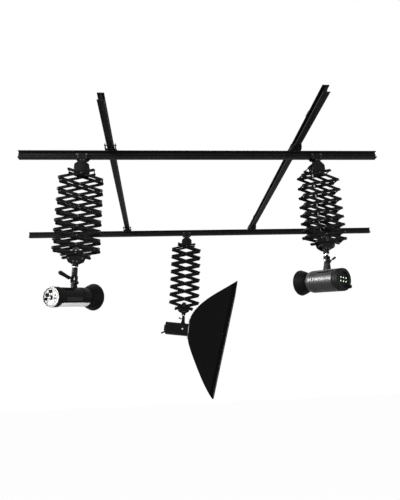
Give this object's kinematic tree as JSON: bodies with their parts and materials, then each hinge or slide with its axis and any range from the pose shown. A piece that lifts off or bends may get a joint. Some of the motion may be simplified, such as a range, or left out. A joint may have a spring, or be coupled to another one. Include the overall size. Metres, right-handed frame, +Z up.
{
  "type": "ceiling rail system",
  "caption": "Studio ceiling rail system: cross rails roll on fixed rails and carry spring pantographs with lamp heads and a softbox",
  "frame": {"origin": "on the ceiling plane, midway between the fixed rails and above the front cross rail at rest", "axes": "+X along the cross rails to the right, +Y along the fixed rails away from the viewer, +Z up"},
  "size_m": [3.751, 2.7381, 1.8449],
  "materials": {
    "rail": "satin",
    "zinc_steel": "satin",
    "carriage": "satin",
    "bracket": "satin",
    "arm": "satin",
    "lattice": "satin",
    "spring_steel": "satin",
    "clamp": "satin",
    "grip": "matte",
    "left_head": "satin",
    "right_head": "satin",
    "centre_head": "satin",
    "reflector": "satin",
    "speedring": "satin",
    "softbox_cloth": "matte"
  },
  "bodies": {
    "root": {"ceiling_bracket_front_left": "zinc_steel", "ceiling_bracket_front_right": "zinc_steel", "ceiling_bracket_rear_left": "zinc_steel", "ceiling_bracket_rear_right": "zinc_steel", "fixed_rail_left": "rail", "fixed_rail_right": "rail"},
    "front_rail": {"front_cross_rail": "rail", "junction_carriage_front_left": "carriage", "junction_carriage_front_right": "carriage"},
    "rear_rail": {"rear_cross_rail": "rail", "junction_carriage_rear_left": "carriage", "junction_carriage_rear_right": "carriage"},
    "left_carriage": {"left_carriage": "carriage"},
    "left_top": {"left_top_bracket": "bracket", "left_spring_strip": "spring_steel", "left_lattice": "lattice"},
    "left_bottom": {"left_bottom_bracket": "bracket"},
    "left_drum": {"left_spring_drum": "spring_steel"},
    "left_swivel": {"left_swivel": "clamp"},
    "left_head": {"left_head": "left_head", "left_reflector": "reflector"},
    "left_lever": {"left_tilt_lever": "grip"},
    "right_carriage": {"right_carriage": "carriage"},
    "right_top": {"right_top_bracket": "bracket", "right_spring_strip": "spring_steel", "right_lattice": "lattice"},
    "right_bottom": {"right_bottom_bracket": "bracket"},
    "right_drum": {"right_spring_drum": "spring_steel"},
    "right_swivel": {"right_swivel": "clamp"},
    "right_head": {"right_head": "right_head", "right_reflector": "reflector"},
    "right_lever": {"right_tilt_lever": "grip"},
    "centre_carriage": {"centre_carriage": "carriage"},
    "centre_top": {"centre_top_bracket": "bracket", "centre_spring_strip": "spring_steel"},
    "centre_arm_a0": {"centre_arm_a0": "arm"},
    "centre_arm_b0": {"centre_arm_b0": "arm"},
    "centre_arm_b1": {"centre_arm_b1": "arm"},
    "centre_arm_a1": {"centre_arm_a1": "arm"},
    "centre_arm_a2": {"centre_arm_a2": "arm"},
    "centre_arm_b2": {"centre_arm_b2": "arm"},
    "centre_arm_b3": {"centre_arm_b3": "arm"},
    "centre_arm_a3": {"centre_arm_a3": "arm"},
    "centre_arm_a4": {"centre_arm_a4": "arm"},
    "centre_arm_b4": {"centre_arm_b4": "arm"},
    "centre_arm_b5": {"centre_arm_b5": "arm"},
    "centre_arm_a5": {"centre_arm_a5": "arm"},
    "centre_arm_a6": {"centre_arm_a6": "arm"},
    "centre_arm_b6": {"centre_arm_b6": "arm"},
    "centre_arm_b7": {"centre_arm_b7": "arm"},
    "centre_arm_a7": {"centre_arm_a7": "arm"},
    "centre_arm_a8": {"centre_arm_a8": "arm"},
    "centre_arm_b8": {"centre_arm_b8": "arm"},
    "centre_bottom": {"centre_bottom_bracket": "bracket"},
    "centre_drum": {"centre_spring_drum": "spring_steel"},
    "centre_swivel": {"centre_swivel": "clamp"},
    "centre_head": {"centre_head": "centre_head", "centre_speedring": "speedring", "centre_softbox": "softbox_cloth"},
    "centre_lever": {"centre_tilt_lever": "grip"}
  },
  "joints": [
    {"name": "front_rail_slide", "type": "slide", "parent": "root", "child": "front_rail", "axis": [0, 1, 0], "range_m": [-0.5, 0.75]},
    {"name": "rear_rail_slide", "type": "slide", "parent": "root", "child": "rear_rail", "axis": [0, 1, 0], "range_m": [-0.75, 0.04]},
    {"name": "left_carriage_slide", "type": "slide", "parent": "front_rail", "child": "left_carriage", "axis": [1, 0, 0], "range_m": [-0.35, 0.6]},
    {"name": "left_pan", "type": "hinge", "parent": "left_carriage", "child": "left_top", "pos_m": [-0.883, 0, -0.1525], "axis": [0, 0, 1], "range_deg": [-180, 180]},
    {"name": "left_extension", "type": "slide", "parent": "left_top", "child": "left_bottom", "axis": [0, 0, -1], "range_m": [-0.375, 1.287], "deforming": ["left_lattice", "left_spring_strip"]},
    {"name": "left_drum_turn", "type": "hinge", "parent": "left_bottom", "child": "left_drum", "pos_m": [-0.90314, -0.00162, -0.8332], "axis": [-0.0802, 0.9968, 0], "range_deg": [-978.6, 3353.8]},
    {"name": "left_spigot_turn", "type": "hinge", "parent": "left_bottom", "child": "left_swivel", "pos_m": [-0.90565, -0.00182, -0.91816], "axis": [0.0296, 0.0024, 0.9996], "range_deg": [-180, 180]},
    {"name": "left_tilt", "type": "hinge", "parent": "left_swivel", "child": "left_head", "pos_m": [-0.90961, -0.00214, -1.0521], "axis": [-0.8743, 0.4848, 0.0247], "range_deg": [-40, 24]},
    {"name": "left_lever_turn", "type": "hinge", "parent": "left_swivel", "child": "left_lever", "pos_m": [-0.90961, -0.00214, -1.0521], "axis": [-0.8743, 0.4848, 0.0247], "range_deg": [-5, 50]},
    {"name": "right_carriage_slide", "type": "slide", "parent": "front_rail", "child": "right_carriage", "axis": [1, 0, 0], "range_m": [-0.6, 0.35]},
    {"name": "right_pan", "type": "hinge", "parent": "right_carriage", "child": "right_top", "pos_m": [0.838, 0, -0.1525], "axis": [0, 0, 1], "range_deg": [-180, 180]},
    {"name": "right_extension", "type": "slide", "parent": "right_top", "child": "right_bottom", "axis": [0, 0, -1], "range_m": [-0.316, 1.346], "deforming": ["right_lattice", "right_spring_strip"]},
    {"name": "right_drum_turn", "type": "hinge", "parent": "right_bottom", "child": "right_drum", "pos_m": [0.82414, -0.00269, -0.77484], "axis": [-0.1908, 0.9816, 0], "range_deg": [-825, 3507.5]},
    {"name": "right_spigot_turn", "type": "hinge", "parent": "right_bottom", "child": "right_swivel", "pos_m": [0.82224, -0.00306, -0.85982], "axis": [0.0223, 0.0043, 0.9997], "range_deg": [-180, 180]},
    {"name": "right_tilt", "type": "hinge", "parent": "right_swivel", "child": "right_head", "pos_m": [0.82055, -0.00339, -0.9358], "axis": [-0.8478, -0.5299, 0.0212], "range_deg": [-40, 40]},
    {"name": "right_lever_turn", "type": "hinge", "parent": "right_swivel", "child": "right_lever", "pos_m": [0.82055, -0.00339, -0.9358], "axis": [-0.8478, -0.5299, 0.0212], "range_deg": [-30, 30]},
    {"name": "centre_carriage_slide", "type": "slide", "parent": "rear_rail", "child": "centre_carriage", "axis": [1, 0, 0], "range_m": [-1.5, 1.9]},
    {"name": "centre_pan", "type": "hinge", "parent": "centre_carriage", "child": "centre_top", "pos_m": [-0.042, 1.715, -0.1525], "axis": [0, 0, 1], "range_deg": [-180, 180]},
    {"name": "centre_unfold", "type": "hinge", "parent": "centre_top", "child": "centre_arm_a0", "pos_m": [-0.05039, 1.71478, -0.26418], "axis": [0.0262, -0.9997, 0], "range_deg": [-10.5, 34], "deforming": ["centre_spring_strip"]},
    {"name": "centre_arm_b0_turn", "type": "hinge", "parent": "centre_top", "child": "centre_arm_b0", "pos_m": [-0.05039, 1.71478, -0.26418], "axis": [0.0262, -0.9997, 0], "range_deg": [-34.5, 11]},
    {"name": "centre_arm_b1_turn", "type": "hinge", "parent": "centre_arm_a0", "child": "centre_arm_b1", "pos_m": [-0.20041, 1.71085, -0.29399], "axis": [0.0262, -0.9997, 0], "range_deg": [-68.5, 21.5]},
    {"name": "centre_arm_a1_turn", "type": "hinge", "parent": "centre_arm_b1", "child": "centre_arm_a1", "pos_m": [-0.05654, 1.71462, -0.34589], "axis": [0.0262, -0.9997, 0], "range_deg": [-21.5, 68.5]},
    {"name": "centre_arm_a2_turn", "type": "hinge", "parent": "centre_arm_b1", "child": "centre_arm_a2", "pos_m": [0.08734, 1.71839, -0.3978], "axis": [0.0262, -0.9997, 0], "range_deg": [-21.5, 68.5]},
    {"name": "centre_arm_b2_turn", "type": "hinge", "parent": "centre_arm_a2", "child": "centre_arm_b2", "pos_m": [-0.06268, 1.71446, -0.4276], "axis": [0.0262, -0.9997, 0], "range_deg": [-68.5, 21.5]},
    {"name": "centre_arm_b3_turn", "type": "hinge", "parent": "centre_arm_a2", "child": "centre_arm_b3", "pos_m": [-0.2127, 1.71053, -0.4574], "axis": [0.0262, -0.9997, 0], "range_deg": [-68.5, 21.5]},
    {"name": "centre_arm_a3_turn", "type": "hinge", "parent": "centre_arm_b3", "child": "centre_arm_a3", "pos_m": [-0.06882, 1.7143, -0.50931], "axis": [0.0262, -0.9997, 0], "range_deg": [-21.5, 68.5]},
    {"name": "centre_arm_a4_turn", "type": "hinge", "parent": "centre_arm_b3", "child": "centre_arm_a4", "pos_m": [0.07506, 1.71807, -0.56121], "axis": [0.0262, -0.9997, 0], "range_deg": [-21.5, 68.5]},
    {"name": "centre_arm_b4_turn", "type": "hinge", "parent": "centre_arm_a4", "child": "centre_arm_b4", "pos_m": [-0.07496, 1.71414, -0.59101], "axis": [0.0262, -0.9997, 0], "range_deg": [-68.5, 21.5]},
    {"name": "centre_arm_b5_turn", "type": "hinge", "parent": "centre_arm_a4", "child": "centre_arm_b5", "pos_m": [-0.22498, 1.71021, -0.62081], "axis": [0.0262, -0.9997, 0], "range_deg": [-68.5, 21.5]},
    {"name": "centre_arm_a5_turn", "type": "hinge", "parent": "centre_arm_b5", "child": "centre_arm_a5", "pos_m": [-0.0811, 1.71398, -0.67272], "axis": [0.0262, -0.9997, 0], "range_deg": [-21.5, 68.5]},
    {"name": "centre_arm_a6_turn", "type": "hinge", "parent": "centre_arm_b5", "child": "centre_arm_a6", "pos_m": [0.06277, 1.71774, -0.72463], "axis": [0.0262, -0.9997, 0], "range_deg": [-21.5, 68.5]},
    {"name": "centre_arm_b6_turn", "type": "hinge", "parent": "centre_arm_a6", "child": "centre_arm_b6", "pos_m": [-0.08724, 1.71382, -0.75443], "axis": [0.0262, -0.9997, 0], "range_deg": [-68.5, 21.5]},
    {"name": "centre_arm_b7_turn", "type": "hinge", "parent": "centre_arm_a6", "child": "centre_arm_b7", "pos_m": [-0.23726, 1.70989, -0.78423], "axis": [0.0262, -0.9997, 0], "range_deg": [-68.5, 21.5]},
    {"name": "centre_arm_a7_turn", "type": "hinge", "parent": "centre_arm_b7", "child": "centre_arm_a7", "pos_m": [-0.09338, 1.71365, -0.83613], "axis": [0.0262, -0.9997, 0], "range_deg": [-21.5, 68.5]},
    {"name": "centre_arm_a8_turn", "type": "hinge", "parent": "centre_arm_b7", "child": "centre_arm_a8", "pos_m": [0.05049, 1.71742, -0.88804], "axis": [0.0262, -0.9997, 0], "range_deg": [-21.5, 68.5]},
    {"name": "centre_arm_b8_turn", "type": "hinge", "parent": "centre_arm_a8", "child": "centre_arm_b8", "pos_m": [-0.09953, 1.71349, -0.91784], "axis": [0.0262, -0.9997, 0], "range_deg": [-68.5, 21.5]},
    {"name": "centre_bottom_turn", "type": "hinge", "parent": "centre_arm_a8", "child": "centre_bottom", "pos_m": [-0.09953, 1.71349, -0.91784], "axis": [0.0262, -0.9997, 0], "range_deg": [-34.5, 11]},
    {"name": "centre_drum_turn", "type": "hinge", "parent": "centre_bottom", "child": "centre_drum", "pos_m": [-0.0981, 1.71353, -0.89889], "axis": [-0.0262, 0.9997, 0], "range_deg": [-1412.5, 3678.6]},
    {"name": "centre_spigot_turn", "type": "hinge", "parent": "centre_bottom", "child": "centre_swivel", "pos_m": [-0.10447, 1.71336, -0.98365], "axis": [-0.075, -0.002, -0.9972], "range_deg": [-180, 180]},
    {"name": "centre_tilt", "type": "hinge", "parent": "centre_swivel", "child": "centre_head", "pos_m": [-0.10995, 1.71322, -1.05645], "axis": [0.1215, 0.9925, -0.0111], "range_deg": [-2, 48]},
    {"name": "centre_lever_turn", "type": "hinge", "parent": "centre_swivel", "child": "centre_lever", "pos_m": [-0.10995, 1.71322, -1.05645], "axis": [0.1215, 0.9925, -0.0111], "range_deg": [-30, 30]}
  ],
  "couplings": [
    {"joint": "left_drum_turn", "follows": "left_extension", "rad_per_m": 45.455},
    {"joint": "right_drum_turn", "follows": "right_extension", "rad_per_m": 45.455},
    {"joint": "centre_arm_b0_turn", "follows": "centre_unfold", "ratio": -1},
    {"joint": "centre_arm_b1_turn", "follows": "centre_unfold", "ratio": -2},
    {"joint": "centre_arm_a1_turn", "follows": "centre_unfold", "ratio": 2},
    {"joint": "centre_arm_a2_turn", "follows": "centre_unfold", "ratio": 2},
    {"joint": "centre_arm_b2_turn", "follows": "centre_unfold", "ratio": -2},
    {"joint": "centre_arm_b3_turn", "follows": "centre_unfold", "ratio": -2},
    {"joint": "centre_arm_a3_turn", "follows": "centre_unfold", "ratio": 2},
    {"joint": "centre_arm_a4_turn", "follows": "centre_unfold", "ratio": 2},
    {"joint": "centre_arm_b4_turn", "follows": "centre_unfold", "ratio": -2},
    {"joint": "centre_arm_b5_turn", "follows": "centre_unfold", "ratio": -2},
    {"joint": "centre_arm_a5_turn", "follows": "centre_unfold", "ratio": 2},
    {"joint": "centre_arm_a6_turn", "follows": "centre_unfold", "ratio": 2},
    {"joint": "centre_arm_b6_turn", "follows": "centre_unfold", "ratio": -2},
    {"joint": "centre_arm_b7_turn", "follows": "centre_unfold", "ratio": -2},
    {"joint": "centre_arm_a7_turn", "follows": "centre_unfold", "ratio": 2},
    {"joint": "centre_arm_a8_turn", "follows": "centre_unfold", "ratio": 2},
    {"joint": "centre_arm_b8_turn", "follows": "centre_unfold", "ratio": -2},
    {"joint": "centre_bottom_turn", "follows": "centre_unfold", "ratio": -1},
    {"joint": "centre_drum_turn", "follows": "centre_unfold", "ratio": 96.428}
  ]
}
